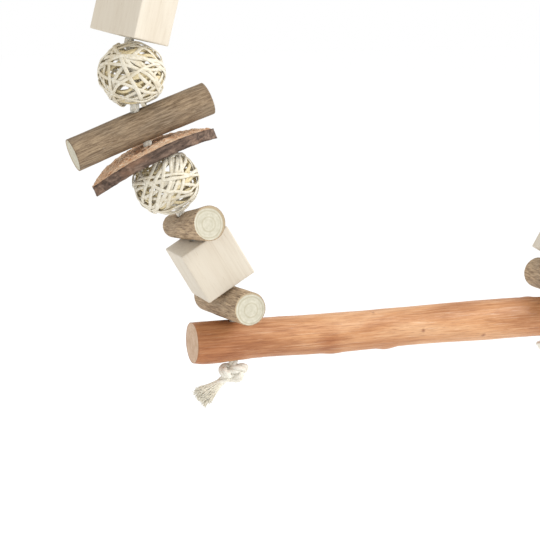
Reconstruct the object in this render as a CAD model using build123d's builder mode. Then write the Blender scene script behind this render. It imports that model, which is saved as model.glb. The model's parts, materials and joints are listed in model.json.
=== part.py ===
"""Arch-shaped natural-wood bird swing.

A twisted rope with a bendable wire core runs from one end of a branch perch, up
through a stack of drilled wooden pieces, over the top through a steel ring and
down the other side. Every threaded piece is free to spin on the rope.

Millimetres, +Z up, the arch in the XZ plane, the front towards -Y. The origin is
the crest of the carabiner's inside, where it hangs on a bar.
"""
from math import atan2, cos, degrees, radians, sin, tan
import os

from build123d import *

# Rope
ROPE_RADIUS = 3.0
ROPE_BEND = 30.0
CORE_RADIUS = 0.8
CORE_CLEARANCE = 0.1
ROPE_CLEARANCE = 0.8  # round the rope in every drilled hole
HOLE_RADIUS = ROPE_RADIUS + ROPE_CLEARANCE

# Threaded pieces
SPIN_GAP = 0.4  # least gap between two neighbours at any turn
LOG_RADIUS = 10.5
LOG_LENGTH = 60.0
TAPER_FRONT_RADIUS = 10.7
TAPER_BACK_RADIUS = 7.4
TAPER_LENGTH = 50.0
TAPER_HOLE_FROM_BACK = 21.0
TOP_LOG_RADIUS = 10.2
TOP_LOG_LENGTH = 88.0
ARCH_LOG_LENGTH = 50.0
ROD_RADIUS = 10.5
ROD_LENGTH = 64.0
BLOCK_SIDE = 33.6
BLOCK_EDGE = 0.6
BALL_RADIUS = 20.0
BALL_WALL = 1.6
BALL_WINDOW = 5.2
BALL_WINDOW_ROWS = ((90.0, 6), (48.0, 5), (132.0, 5))  # angle from the rope, how many
SHELL_LENGTH = 81.0
SHELL_FRONT = 19.0
SHELL_BACK = 26.0
SHELL_THICKNESS = 5.6
SHELL_RADIUS = 92.0

# Turn of each piece on the rope at rest, on the left and on the right, in degrees:
# 0 points its length at the front and 90 into the arch's plane.
REST_TURNS = {
    "log_low": (6.0, -5.0),
    "block_low": (1.0, -6.0),
    "log_mid": (12.0, -30.0),
    "shell": (90.0, 90.0),
    "log_high": (90.0, -72.0),
    "ball_side": (40.0, 40.0),
    "block_side": (35.0, 35.0),
    "log_arch": (-12.0, 12.0),
    "ball_top": (75.0, 75.0),
}

# Perch
PERCH_RADIUS = 12.9
PERCH_END = 26.5  # from each hole to the perch's end

# Knots and tassels
KNOT_GAP = 0.8
KNOT_PITCH = 6.6
TASSEL_LENGTH = 17.0
TASSEL_RADIUS = 6.6
TASSEL_ROOT = 12.6  # from the knot's middle
TASSEL_LEAN = 55.0

# Ring and carabiner
RING_RADIUS = 10.5
RING_WIRE = 1.5
RING_SIDE_GAP = 4.5
LINK_CLEARANCE = 0.3
CLIP_WIRE = 1.6
CLIP_INNER_RADIUS = 5.0
CLIP_LEG = 24.0
GATE_WIDTH = 3.0
GATE_LENGTH = 17.0
GATE_FOOT = 4.0  # from the lower arc's centre up to the gate's pin
PIN_RADIUS = 0.6
TONGUE_THICKNESS = 1.2
TONGUE_DEPTH = 2.2
GATE_CLEARANCE = 0.3

CLIP_RADIUS = CLIP_INNER_RADIUS + CLIP_WIRE
CLIP_TOP_Z = -CLIP_INNER_RADIUS
CLIP_LOW_Z = CLIP_TOP_Z - CLIP_LEG
CLIP_BOTTOM_Z = CLIP_LOW_Z - CLIP_RADIUS
RING_Z = CLIP_BOTTOM_Z + CLIP_WIRE + LINK_CLEARANCE + RING_WIRE - RING_RADIUS
APEX_Z = RING_Z - RING_RADIUS + RING_WIRE + LINK_CLEARANCE + ROPE_RADIUS
TAPER_HOLE_RADIUS = TAPER_BACK_RADIUS + (
    TAPER_FRONT_RADIUS - TAPER_BACK_RADIUS
) * (TAPER_HOLE_FROM_BACK / TAPER_LENGTH)
BLOCK_REACH = BLOCK_SIDE / 2**0.5

# The tapered log lies flat on the block below it, so its upper side slopes.
TAPER_SLOPE = degrees(atan2(TAPER_FRONT_RADIUS - TAPER_BACK_RADIUS, TAPER_LENGTH))

# Threaded pieces of one side, from the ring down to the perch: name, the rope's
# heading there (0 is level and outward, 90 straight down), half the thickness on
# the rope, how far out the faces stay flat (0 on a ball or a dome), and the slope
# of the upper side.
ORDER = [
    ("ball_top", 9.0, BALL_RADIUS, 0.0, 0.0),
    ("rod_top", 24.0, ROD_LENGTH / 2, ROD_RADIUS, 0.0),
    ("log_arch", 39.0, LOG_RADIUS, ARCH_LOG_LENGTH / 2, 0.0),
    ("rod_side", 55.0, ROD_LENGTH / 2, ROD_RADIUS, 0.0),
    ("block_side", 76.0, BLOCK_SIDE / 2, BLOCK_REACH, 0.0),
    ("ball_side", 94.0, BALL_RADIUS, 0.0, 0.0),
    ("log_high", 110.5, TOP_LOG_RADIUS, TOP_LOG_LENGTH / 2, 0.0),
    ("shell", 113.0, SHELL_THICKNESS / 2, 0.0, 0.0),
    ("ball_low", 116.0, BALL_RADIUS, 0.0, 0.0),
    ("log_mid", 120.5, TAPER_HOLE_RADIUS, TAPER_LENGTH / 2, 2 * TAPER_SLOPE),
    ("block_low", 121.0, BLOCK_SIDE / 2, BLOCK_REACH, 0.0),
    ("log_low", 105.0, LOG_RADIUS, 0.0, 0.0),
    ("perch", 90.0, PERCH_RADIUS, 0.0, 0.0),
]
WEDGE_GAP = 1.8  # between the low log and the block that leans on it
SEAT_GAP = 0.8  # between the low log and the perch


def gap_between(upper, lower):
    """Rope length between two neighbours, so that both can turn right round."""
    if (upper[0], lower[0]) == ("block_low", "log_low"):
        return WEDGE_GAP
    if (upper[0], lower[0]) == ("log_low", "perch"):
        return SEAT_GAP
    turn = radians(abs(lower[1] - upper[1]) + lower[4])
    needs = [
        piece[3] * tan(turn) if piece[3] else piece[2] * (1 / cos(turn) - 1)
        for piece in (upper, lower)
    ]
    return SPIN_GAP + min(needs)


def walk_down():
    """Centres by name and the rope's corner points, as (x, z) on the +X side."""
    x, z = RING_WIRE + RING_SIDE_GAP, APEX_Z
    corners = [(x, z)]
    centres = {}
    for number, piece in enumerate(ORDER):
        name, heading, half = piece[:3]
        along = cos(radians(heading)), -sin(radians(heading))
        before = 0.0 if number == 0 else gap_between(ORDER[number - 1], piece) / 2
        after = 0.0 if name == "perch" else gap_between(piece, ORDER[number + 1]) / 2
        x, z = x + along[0] * (before + half), z + along[1] * (before + half)
        centres[name] = (x, z)
        x, z = x + along[0] * (half + after), z + along[1] * (half + after)
        if name != "perch":
            corners.append((x, z))
    return centres, corners


CENTRES, CORNERS = walk_down()
HEADINGS = {piece[0]: piece[1] for piece in ORDER}
PERCH_X, PERCH_Z = CENTRES["perch"]
PERCH_LENGTH = 2 * (PERCH_X + PERCH_END)
KNOT_DROP = PERCH_RADIUS + KNOT_GAP + ROPE_RADIUS + KNOT_PITCH / 2
ROPE_END_DROP = KNOT_DROP + KNOT_PITCH / 2 + ROPE_RADIUS


def up_at(name, side):
    """Unit vector up the rope through a piece; side is -1 left, +1 right."""
    heading = radians(HEADINGS[name])
    return Vector(-side * cos(heading), 0, sin(heading))


def place(name, side):
    """Plane on a piece's centre: z up the rope, x along its length."""
    x, z = CENTRES[name]
    up = up_at(name, side)
    across = Vector(0, -1, 0).cross(up)
    turn = radians(REST_TURNS.get(name, (0.0, 0.0))[side > 0])
    along = Vector(0, -1, 0) * cos(turn) - across * sin(turn)
    return Plane(origin=(side * x, 0, z), x_dir=along, z_dir=up)


def below_perch(side, drop):
    """Point on the rope's lower run, a given distance down from the perch's axis."""
    return Vector(side * PERCH_X, 0, PERCH_Z) - up_at("perch", side) * drop


def cross_log(plane, length, front_radius, back_radius, hole_from_back):
    """Log lying across the rope, its lower side flat on what is below it."""
    slope = atan2(front_radius - back_radius, length)
    along = plane.x_dir * cos(slope) + plane.z_dir * sin(slope)
    back = plane.origin - along * hole_from_back
    front = back + along * length
    with BuildPart() as log:
        with BuildSketch(Plane(back, x_dir=plane.y_dir, z_dir=along)):
            Circle(back_radius)
        with BuildSketch(Plane(front, x_dir=plane.y_dir, z_dir=along)):
            Circle(front_radius)
        loft()
        with BuildSketch(plane.offset(-2 * front_radius)):
            Circle(HOLE_RADIUS)
        extrude(amount=4 * front_radius, mode=Mode.SUBTRACT)
    return log.part


def rod(plane):
    """Log drilled from end to end, in line with the rope."""
    with BuildPart() as drilled:
        with BuildSketch(plane.offset(-ROD_LENGTH / 2)):
            Circle(ROD_RADIUS)
            Circle(HOLE_RADIUS, mode=Mode.SUBTRACT)
        extrude(amount=ROD_LENGTH)
    return drilled.part


def block(plane):
    """Drilled cube with slightly broken edges."""
    with BuildPart() as cube:
        with BuildSketch(plane.offset(-BLOCK_SIDE / 2)):
            Rectangle(BLOCK_SIDE, BLOCK_SIDE)
        extrude(amount=BLOCK_SIDE)
        chamfer(cube.edges(), BLOCK_EDGE)
        with BuildSketch(plane.offset(-BLOCK_SIDE)):
            Circle(HOLE_RADIUS)
        extrude(amount=2 * BLOCK_SIDE, mode=Mode.SUBTRACT)
    return cube.part


def ball(plane):
    """Hollow woven ball: a thin sphere with windows between its bands of strips."""
    section = Plane(origin=plane.origin, x_dir=plane.x_dir, z_dir=-plane.y_dir)
    with BuildPart() as woven:
        with BuildSketch(section):
            Circle(BALL_RADIUS)
            Circle(BALL_RADIUS - BALL_WALL, mode=Mode.SUBTRACT)
            with Locations((-BALL_RADIUS, 0)):
                Rectangle(2 * BALL_RADIUS, 2 * BALL_RADIUS, mode=Mode.SUBTRACT)
        revolve(axis=Axis(plane.origin, plane.z_dir))
        for lean, count in BALL_WINDOW_ROWS:
            for number in range(count):
                turn = 360.0 * (number + lean / 100) / count
                outward = (
                    plane.x_dir * (sin(radians(lean)) * cos(radians(turn)))
                    + plane.y_dir * (sin(radians(lean)) * sin(radians(turn)))
                    + plane.z_dir * cos(radians(lean))
                )
                with BuildSketch(Plane(origin=plane.origin, z_dir=outward)):
                    Circle(BALL_WINDOW)
                extrude(amount=2 * BALL_RADIUS, mode=Mode.SUBTRACT)
        with BuildSketch(plane.offset(-2 * BALL_RADIUS)):
            Circle(HOLE_RADIUS)
        extrude(amount=4 * BALL_RADIUS, mode=Mode.SUBTRACT)
    return woven.part


def shell(plane):
    """Domed slice of husk: an oval cut from a thick hollow sphere."""
    half = SHELL_THICKNESS / 2
    with BuildPart() as husk:
        with BuildSketch(plane.offset(half - SHELL_LENGTH / 2)):
            with BuildLine():
                ThreePointArc((-SHELL_LENGTH / 2, 0), (0, -SHELL_FRONT), (SHELL_LENGTH / 2, 0))
                ThreePointArc((SHELL_LENGTH / 2, 0), (0, SHELL_BACK), (-SHELL_LENGTH / 2, 0))
            make_face()
        extrude(amount=SHELL_LENGTH / 2)
        section = Plane(origin=plane.origin, x_dir=plane.x_dir, z_dir=-plane.y_dir)
        with BuildSketch(section):
            with Locations((0, half - SHELL_RADIUS)):
                Circle(SHELL_RADIUS)
                Circle(SHELL_RADIUS - SHELL_THICKNESS, mode=Mode.SUBTRACT)
            with Locations((-SHELL_RADIUS, 0)):
                Rectangle(2 * SHELL_RADIUS, 6 * SHELL_RADIUS, mode=Mode.SUBTRACT)
        revolve(axis=Axis(plane.origin, plane.z_dir), mode=Mode.INTERSECT)
        with BuildSketch(plane.offset(-SHELL_THICKNESS)):
            Circle(HOLE_RADIUS)
        extrude(amount=2 * SHELL_THICKNESS, mode=Mode.SUBTRACT)
    return husk.part


def rope_route(inset):
    """Corner points from the left end, over the ring, to the right end."""
    drop = ROPE_END_DROP - inset
    left = [below_perch(-1, drop)] + [Vector(-x, 0, z) for x, z in reversed(CORNERS)]
    right = [Vector(x, 0, z) for x, z in CORNERS] + [below_perch(1, drop)]
    return left + right


def along_rope(outer, inner, inset):
    """Round section swept along the rope's runs and tangent bends."""
    points = rope_route(inset)
    start = Plane(origin=points[0], z_dir=points[1] - points[0])
    with BuildPart() as strand:
        with BuildLine() as route:
            FilletPolyline(*points, radius=ROPE_BEND)
        with BuildSketch(start):
            Circle(outer)
            if inner:
                Circle(inner, mode=Mode.SUBTRACT)
        sweep(path=route.wires()[0])
    return strand.part


def knot(side):
    """Two turns of rope round the standing rope."""
    turn_radius = 2 * ROPE_RADIUS + CORE_CLEARANCE
    start = below_perch(side, KNOT_DROP + KNOT_PITCH / 2)
    up = up_at("perch", side)
    across = Plane(origin=start, x_dir=up, z_dir=(0, -1, 0))
    with BuildPart() as turns:
        with BuildSketch(across):
            for level in (0, 1):
                with Locations((level * KNOT_PITCH, turn_radius)):
                    Circle(ROPE_RADIUS)
            with Locations((KNOT_PITCH / 2, turn_radius)):
                Rectangle(KNOT_PITCH, 1.2 * ROPE_RADIUS)
        revolve(axis=Axis(start, up))
    return turns.part


def tassel(side):
    """Frayed rope end, spreading outward and down from the knot."""
    lean = radians(TASSEL_LEAN)
    down = Vector(side * sin(lean), 0, -cos(lean))
    start = below_perch(side, KNOT_DROP) + down * TASSEL_ROOT
    with BuildPart() as brush:
        with BuildSketch(Plane(origin=start, z_dir=down)):
            Circle(ROPE_RADIUS)
        with BuildSketch(Plane(origin=start + down * TASSEL_LENGTH, z_dir=down)):
            Circle(TASSEL_RADIUS)
        loft()
    return brush.part


os.makedirs("parts", exist_ok=True)


def save(part, label):
    """Write one named sub-part."""
    part.label = label
    export_step(part, f"parts/{label}.step")


TAPERED = TAPER_LENGTH, TAPER_FRONT_RADIUS, TAPER_BACK_RADIUS, TAPER_HOLE_FROM_BACK
for side, hand in ((-1, "left"), (1, "right")):
    for name, length, radius in (
        ("log_low", LOG_LENGTH, LOG_RADIUS),
        ("log_high", TOP_LOG_LENGTH, TOP_LOG_RADIUS),
        ("log_arch", ARCH_LOG_LENGTH, LOG_RADIUS),
    ):
        save(cross_log(place(name, side), length, radius, radius, length / 2), f"{hand}_{name}")
    save(cross_log(place("log_mid", side), *TAPERED), f"{hand}_log_mid")
    for name in ("rod_side", "rod_top"):
        save(rod(place(name, side)), f"{hand}_{name}")
    for name in ("block_low", "block_side"):
        save(block(place(name, side)), f"{hand}_{name}")
    for name in ("ball_low", "ball_side", "ball_top"):
        save(ball(place(name, side)), f"{hand}_{name}")
    save(shell(place("shell", side)), f"{hand}_shell")
    save(knot(side), f"{hand}_knot")
    save(tassel(side), f"{hand}_tassel")

save(along_rope(ROPE_RADIUS, CORE_RADIUS + CORE_CLEARANCE, 0), "rope")
save(along_rope(CORE_RADIUS, 0, ROPE_RADIUS), "wire_core")

# Branch perch: radius and small drift of its heart (back-front, up-down) at even
# steps along its length.
PERCH_STATIONS = [
    (0.98, 0.0, 0.0),
    (0.98, 0.0, 0.0),
    (0.97, 0.2, -0.2),
    (0.98, 0.3, -0.4),
    (0.965, -0.3, 0.3),
    (0.99, -0.5, 0.7),
    (1.02, -0.3, 0.6),
    (1.00, 0.0, 0.0),
    (1.00, 0.0, 0.0),
]
with BuildPart() as perch:
    for number, (share, back, rise) in enumerate(PERCH_STATIONS):
        along = PERCH_LENGTH * (number / (len(PERCH_STATIONS) - 1) - 0.5)
        with BuildSketch(Plane(origin=(along, back, PERCH_Z + rise), z_dir=(1, 0, 0))):
            Circle(PERCH_RADIUS * share)
    loft()
    for side in (-1, 1):
        hole = place("perch", side)
        with BuildSketch(hole.offset(-2 * PERCH_RADIUS)):
            Circle(HOLE_RADIUS)
        extrude(amount=4 * PERCH_RADIUS, mode=Mode.SUBTRACT)
save(perch.part, "perch")

with BuildPart() as ring:
    with BuildSketch(Plane.XZ):
        with Locations((0, RING_Z + RING_RADIUS)):
            Circle(RING_WIRE)
    revolve(axis=Axis((0, 0, RING_Z), (1, 0, 0)))
save(ring.part, "ring")

# Carabiner: bent wire with a gap on its right leg for the gate.
PIN_Z = CLIP_LOW_Z + GATE_FOOT
GATE_TOP_Z = PIN_Z + GATE_LENGTH
NOSE_Z = GATE_TOP_Z + GATE_CLEARANCE
SHOULDER_Z = PIN_Z - GATE_WIDTH / 2 - GATE_CLEARANCE
with BuildPart() as carabiner:
    with BuildLine(Plane.XZ) as bend:
        Line((CLIP_RADIUS, SHOULDER_Z), (CLIP_RADIUS, CLIP_LOW_Z))
        ThreePointArc((CLIP_RADIUS, CLIP_LOW_Z), (0, CLIP_BOTTOM_Z), (-CLIP_RADIUS, CLIP_LOW_Z))
        Line((-CLIP_RADIUS, CLIP_LOW_Z), (-CLIP_RADIUS, CLIP_TOP_Z))
        ThreePointArc((-CLIP_RADIUS, CLIP_TOP_Z), (0, CLIP_WIRE), (CLIP_RADIUS, CLIP_TOP_Z))
        Line((CLIP_RADIUS, CLIP_TOP_Z), (CLIP_RADIUS, NOSE_Z))
    with BuildSketch(Plane(origin=(CLIP_RADIUS, 0, SHOULDER_Z), z_dir=(0, 0, -1))):
        Circle(CLIP_WIRE)
    sweep(path=bend.wires()[0])
    with BuildSketch(Plane.XZ.offset(-TONGUE_THICKNESS / 2)):
        with Locations((CLIP_RADIUS, PIN_Z)):
            Circle(GATE_WIDTH / 2)
        with Locations((CLIP_RADIUS, (PIN_Z + SHOULDER_Z) / 2 - CLIP_WIRE / 2)):
            Rectangle(GATE_WIDTH, PIN_Z - SHOULDER_Z + CLIP_WIRE)
        with Locations((CLIP_RADIUS + GATE_WIDTH / 8, NOSE_Z - TONGUE_DEPTH / 2 + CLIP_WIRE / 2)):
            Rectangle(GATE_WIDTH / 2, TONGUE_DEPTH + CLIP_WIRE)
    extrude(amount=TONGUE_THICKNESS)
    with BuildSketch(Plane.XZ.offset(-CLIP_WIRE)):
        with Locations((CLIP_RADIUS, PIN_Z)):
            Circle(PIN_RADIUS)
    extrude(amount=2 * CLIP_WIRE, mode=Mode.SUBTRACT)
save(carabiner.part, "carabiner")

with BuildPart() as gate:
    with BuildSketch(Plane.XZ.offset(-CLIP_WIRE)):
        with Locations((CLIP_RADIUS, PIN_Z)):
            Circle(GATE_WIDTH / 2)
        with Locations((CLIP_RADIUS, PIN_Z + GATE_LENGTH / 2)):
            Rectangle(GATE_WIDTH, GATE_LENGTH)
        with Locations((CLIP_RADIUS, PIN_Z)):
            Circle(PIN_RADIUS + GATE_CLEARANCE / 2, mode=Mode.SUBTRACT)
    extrude(amount=2 * CLIP_WIRE)
    with BuildSketch(Plane.XZ.offset(-TONGUE_THICKNESS / 2 - GATE_CLEARANCE)):
        with Locations((CLIP_RADIUS, PIN_Z)):
            Rectangle(2 * GATE_WIDTH, GATE_WIDTH + 2 * GATE_CLEARANCE)
        with Locations((CLIP_RADIUS + GATE_WIDTH, GATE_TOP_Z)):
            Rectangle(2.5 * GATE_WIDTH, 2 * (TONGUE_DEPTH + GATE_CLEARANCE))
    extrude(amount=TONGUE_THICKNESS + 2 * GATE_CLEARANCE, mode=Mode.SUBTRACT)
save(gate.part, "gate")

with BuildPart() as gate_pin:
    with BuildSketch(Plane.XZ.offset(-CLIP_WIRE)):
        with Locations((CLIP_RADIUS, PIN_Z)):
            Circle(PIN_RADIUS)
    extrude(amount=2 * CLIP_WIRE)
save(gate_pin.part, "gate_pin")

print(f"perch {PERCH_LENGTH:.1f} long, axis z {PERCH_Z:.1f}, rope bends {ROPE_BEND:.0f} radius")
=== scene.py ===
"""Looks of the arch-shaped bird swing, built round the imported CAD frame.

Metres, +Z up, the arch in the XZ plane, the front towards -Y. Each wooden piece
takes its place, its turn and its size from its CAD node and from its joint.
"""

import json
import random
from math import cos, pi, radians, sin

import bmesh
import bpy
import numpy as np
from mathutils import Matrix, Vector, noise
from mathutils.bvhtree import BVHTree


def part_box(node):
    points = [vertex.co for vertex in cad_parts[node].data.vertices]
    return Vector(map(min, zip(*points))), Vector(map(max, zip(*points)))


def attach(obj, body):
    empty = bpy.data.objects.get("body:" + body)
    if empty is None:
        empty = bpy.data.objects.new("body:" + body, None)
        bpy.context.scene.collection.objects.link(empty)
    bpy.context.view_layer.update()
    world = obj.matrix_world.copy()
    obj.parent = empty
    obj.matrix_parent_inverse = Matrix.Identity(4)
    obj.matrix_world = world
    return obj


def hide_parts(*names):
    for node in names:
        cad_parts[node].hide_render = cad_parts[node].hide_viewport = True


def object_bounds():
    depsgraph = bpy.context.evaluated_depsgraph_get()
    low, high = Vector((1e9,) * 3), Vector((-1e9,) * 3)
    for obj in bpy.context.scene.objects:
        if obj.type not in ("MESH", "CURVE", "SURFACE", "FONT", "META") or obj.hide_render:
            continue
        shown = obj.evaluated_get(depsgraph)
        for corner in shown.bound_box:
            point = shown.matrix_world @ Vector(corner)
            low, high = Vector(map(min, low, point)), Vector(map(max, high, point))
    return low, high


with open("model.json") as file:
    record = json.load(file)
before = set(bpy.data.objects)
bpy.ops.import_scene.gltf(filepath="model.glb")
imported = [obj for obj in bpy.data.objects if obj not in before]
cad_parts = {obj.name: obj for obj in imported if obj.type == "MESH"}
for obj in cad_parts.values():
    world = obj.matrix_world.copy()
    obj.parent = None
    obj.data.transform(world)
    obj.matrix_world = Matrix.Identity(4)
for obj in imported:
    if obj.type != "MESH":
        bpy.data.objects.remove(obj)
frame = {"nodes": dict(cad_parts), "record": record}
CAD_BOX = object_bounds()
NODES = frame["nodes"]
JOINTS = {joint["child"]: joint for joint in frame["record"]["behaviour"]["joints"]}
MM = 0.001

HOLE_RADIUS = 3.8 * MM
STRAND_RADIUS = 1.5 * MM
STRAND_OFFSET = 1.42 * MM
TWIST_PITCH = 17.0 * MM
BARK_DEPTH = 0.35 * MM
STRIP_WIDTH = 2.0 * MM
STRIP_THICKNESS = 0.75 * MM
STRIP_STEPS = 96
STRIPS = 30
SHELL_LIP = 1.3 * MM
# One over a log's radius in metres: its rim is near 1.
LOG_END_SCALE = 95.0
PERCH_RADIUS = 13.0 * MM
# Radius of the perch's skin where the rope's hole opens, before it is drilled.
PERCH_OVER_HOLE = 12.6 * MM
KNOT_SIZE = (2.7 * MM, 3.1 * MM, 1.38 * MM)
KNOT_STEPS = 22
FIBRES = 520
FIBRE_STEPS = 8
FIBRE_SPREAD = 6.6 * MM
FIBRE_RADII = (0.17, 0.30)
TASSEL_ROOT = 12.6 * MM
TASSEL_LENGTH = 17.0 * MM
TASSEL_LEAN = radians(55.0)
TONE = 0.84

# Cross-section of a cane strip: (share of width, share of thickness).
STRIP_SECTION = (
    (-0.5, -0.2), (-0.5, 0.2), (-0.3, 0.5), (0.3, 0.5),
    (0.5, 0.2), (0.5, -0.2), (0.3, -0.5), (-0.3, -0.5),
)
# Rings of a log's sawn end: (share of radius, lift in mm, 0 for bark or 1 for wood).
LOG_END_RINGS = ((0.955, 0.0, 0), (0.93, -0.16, 1), (0.55, -0.05, 1), (0.22, -0.02, 1))
# Rings of the perch's sawn end: (share of radius, lift in mm, 0 for the branch or 1 for the end).
PERCH_END_RINGS = ((0.975, -0.15, 0), (0.93, 0.0, 1), (0.5, 0.0, 1), (0.15, 0.0, 1))
# Knots on the perch: (share of length, turn, height and spread in mm).
PERCH_KNOTS = (
    (0.467, -1.72, 0.75, 6.0),
    (0.332, -1.75, 0.45, 6.5),
    (0.543, 3.16, 0.22, 3.2),
    (0.430, 1.95, 0.22, 2.8),
    (0.840, 1.2, 0.4, 4.5),
    (0.700, -2.6, 0.35, 4.0),
    (0.22, 0.4, 0.4, 4.5),
)
# Darker areas of the perch, partly real blush and partly painted shade on its underside and, at its left end,
# the log's painted shadow: (share of length, turn, reach in mm, depth of colour).
PERCH_BLUSHES_AND_SHADE = (
    (0.02, -2.4, 62, 0.85),
    (0.313, -2.8, 15, 0.8),
    (0.20, -2.0, 40, 0.45),
    (0.42, -1.9, 40, 0.4),
    (0.62, 0.2, 30, 0.5),
    (0.86, -2.4, 40, 0.5),
)

SIDES = {"left": -1, "right": 1}
THREADED = (
    "log_low", "block_low", "log_mid", "ball_low", "shell", "log_high", "ball_side",
    "block_side", "rod_side", "log_arch", "rod_top", "ball_top",
)


# Materials -------------------------------------------------------------------


def times(colour, factor):
    """A colour times a number or, channel by channel, times another colour."""
    factors = factor if isinstance(factor, tuple) else (factor,) * len(colour)
    return tuple(a * b for a, b in zip(colour, factors))


class Shader:
    """A Principled material built node by node on object coordinates."""

    def __init__(self, name, roughness=0.7, **inputs):
        self.material = bpy.data.materials.new(name)
        self.material.use_nodes = True
        self.tree = self.material.node_tree
        self.bsdf = self.tree.nodes["Principled BSDF"]
        self.bsdf.inputs["Roughness"].default_value = roughness
        for key, value in inputs.items():
            self.bsdf.inputs[key.replace("_", " ")].default_value = value
        self.coords = self.node("ShaderNodeTexCoord").outputs["Object"]

    def node(self, kind, **settings):
        made = self.tree.nodes.new(kind)
        for key, value in settings.items():
            setattr(made, key, value)
        return made

    def link(self, a, b):
        self.tree.links.new(a, b)

    def scaled(self, scale, shift=(0, 0, 0), source=None):
        """Coordinates multiplied by scale, then shifted."""
        mapping = self.node("ShaderNodeMapping")
        mapping.inputs["Scale"].default_value = scale
        mapping.inputs["Location"].default_value = shift
        self.link(source or self.coords, mapping.inputs["Vector"])
        return mapping.outputs["Vector"]

    def noise(self, vector, scale, detail=6.0, roughness=0.6, distortion=0.0):
        texture = self.node("ShaderNodeTexNoise")
        texture.inputs["Scale"].default_value = scale
        texture.inputs["Detail"].default_value = detail
        texture.inputs["Roughness"].default_value = roughness
        texture.inputs["Distortion"].default_value = distortion
        self.link(vector, texture.inputs["Vector"])
        return texture.outputs["Fac"]

    def ramp(self, factor, *stops):
        """Colour ramp; a stop is (place, grey or colour)."""
        made = self.node("ShaderNodeValToRGB")
        elements = made.color_ramp.elements
        while len(elements) < len(stops):
            elements.new(0.5)
        for element, (place, colour) in zip(elements, stops):
            element.position = place
            if isinstance(colour, (int, float)):
                colour = (colour,) * 3
            else:
                colour = times(colour, TONE)
            element.color = (*colour, 1.0)
        self.link(factor, made.inputs["Fac"])
        return made.outputs["Color"]

    def mix(self, factor, a, b, mode="MIX"):
        made = self.node("ShaderNodeMix", data_type="RGBA", blend_type=mode)
        for socket, value in ((made.inputs[0], factor), (made.inputs[6], a), (made.inputs[7], b)):
            if isinstance(value, bpy.types.NodeSocket):
                self.link(value, socket)
            elif isinstance(value, tuple):
                socket.default_value = (*times(value, TONE), 1.0)
            else:
                socket.default_value = value
        return made.outputs[2]

    def math(self, operation, a, b=None):
        made = self.node("ShaderNodeMath", operation=operation)
        for socket, value in zip(made.inputs, (a, b)):
            if isinstance(value, bpy.types.NodeSocket):
                self.link(value, socket)
            elif value is not None:
                socket.default_value = value
        return made.outputs[0]

    def length(self, vector):
        made = self.node("ShaderNodeVectorMath", operation="LENGTH")
        self.link(vector, made.inputs[0])
        return made.outputs["Value"]

    def away_from(self, place, scale, wander):
        """Scaled distance from a place, its edge broken up by a noise."""
        made = self.node("ShaderNodeVectorMath", operation="DISTANCE")
        self.link(self.coords, made.inputs[0])
        made.inputs[1].default_value = place
        return self.math("ADD", self.math("MULTIPLY", made.outputs["Value"], scale), wander)

    def finish(self, colour, rough=None, bump=(), relief=0.3 * MM):
        """Connects colour and roughness, and each (height, strength) of bump."""
        self.link(colour, self.bsdf.inputs["Base Color"])
        if rough is not None:
            self.link(rough, self.bsdf.inputs["Roughness"])
        last = None
        for height, strength in bump:
            made = self.node("ShaderNodeBump")
            made.inputs["Strength"].default_value = strength
            made.inputs["Distance"].default_value = relief
            self.link(height, made.inputs["Height"])
            if last is not None:
                self.link(last, made.inputs["Normal"])
            last = made.outputs["Normal"]
        if last is not None:
            self.link(last, self.bsdf.inputs["Normal"])
        return self.material


def bark_material(name, seed, shade=1.0):
    """Thin brown-grey bark with fine lengthwise streaks (length along Z)."""
    s = Shader(name, 0.85)
    s.bsdf.inputs["Specular IOR Level"].default_value = 0.25
    shift = (seed * 3.1, seed * 1.7, seed * 0.9)
    fine = s.noise(s.scaled((1400, 1400, 120), shift), 1.0, 8, 0.65)
    streak = s.noise(s.scaled((900, 900, 105), shift), 1.0, 7, 0.72, 0.3)
    patch = s.noise(s.scaled((55, 55, 32), shift), 1.0, 5, 0.6)
    speck = s.noise(s.scaled((900, 900, 500), shift), 1.0, 3, 0.5)
    base = s.ramp(
        streak,
        (0.30, times((0.10, 0.055, 0.028), shade)),
        (0.46, times((0.39, 0.27, 0.165), shade)),
        (0.64, times((0.70, 0.52, 0.33), shade)),
    )
    grey = s.ramp(
        fine,
        (0.38, times((0.16, 0.115, 0.075), shade)),
        (0.62, times((0.60, 0.475, 0.335), shade)),
    )
    colour = s.mix(s.ramp(patch, (0.42, 0.10), (0.66, 0.65)), base, grey)
    crack = s.noise(s.scaled((1300, 1300, 120), shift), 1.0, 4, 0.6, 0.4)
    colour = s.mix(s.ramp(crack, (0.32, 0.6), (0.42, 0.0)), colour, (0.09, 0.05, 0.03))
    pale = times((0.62, 0.53, 0.41), shade)
    colour = s.mix(s.ramp(speck, (0.64, 0.0), (0.76, 0.35)), colour, pale)
    rough = s.ramp(fine, (0.3, 0.95), (0.7, 0.72))
    return s.finish(colour, rough, ((streak, 0.55), (fine, 0.45)), 0.5 * MM)


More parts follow.
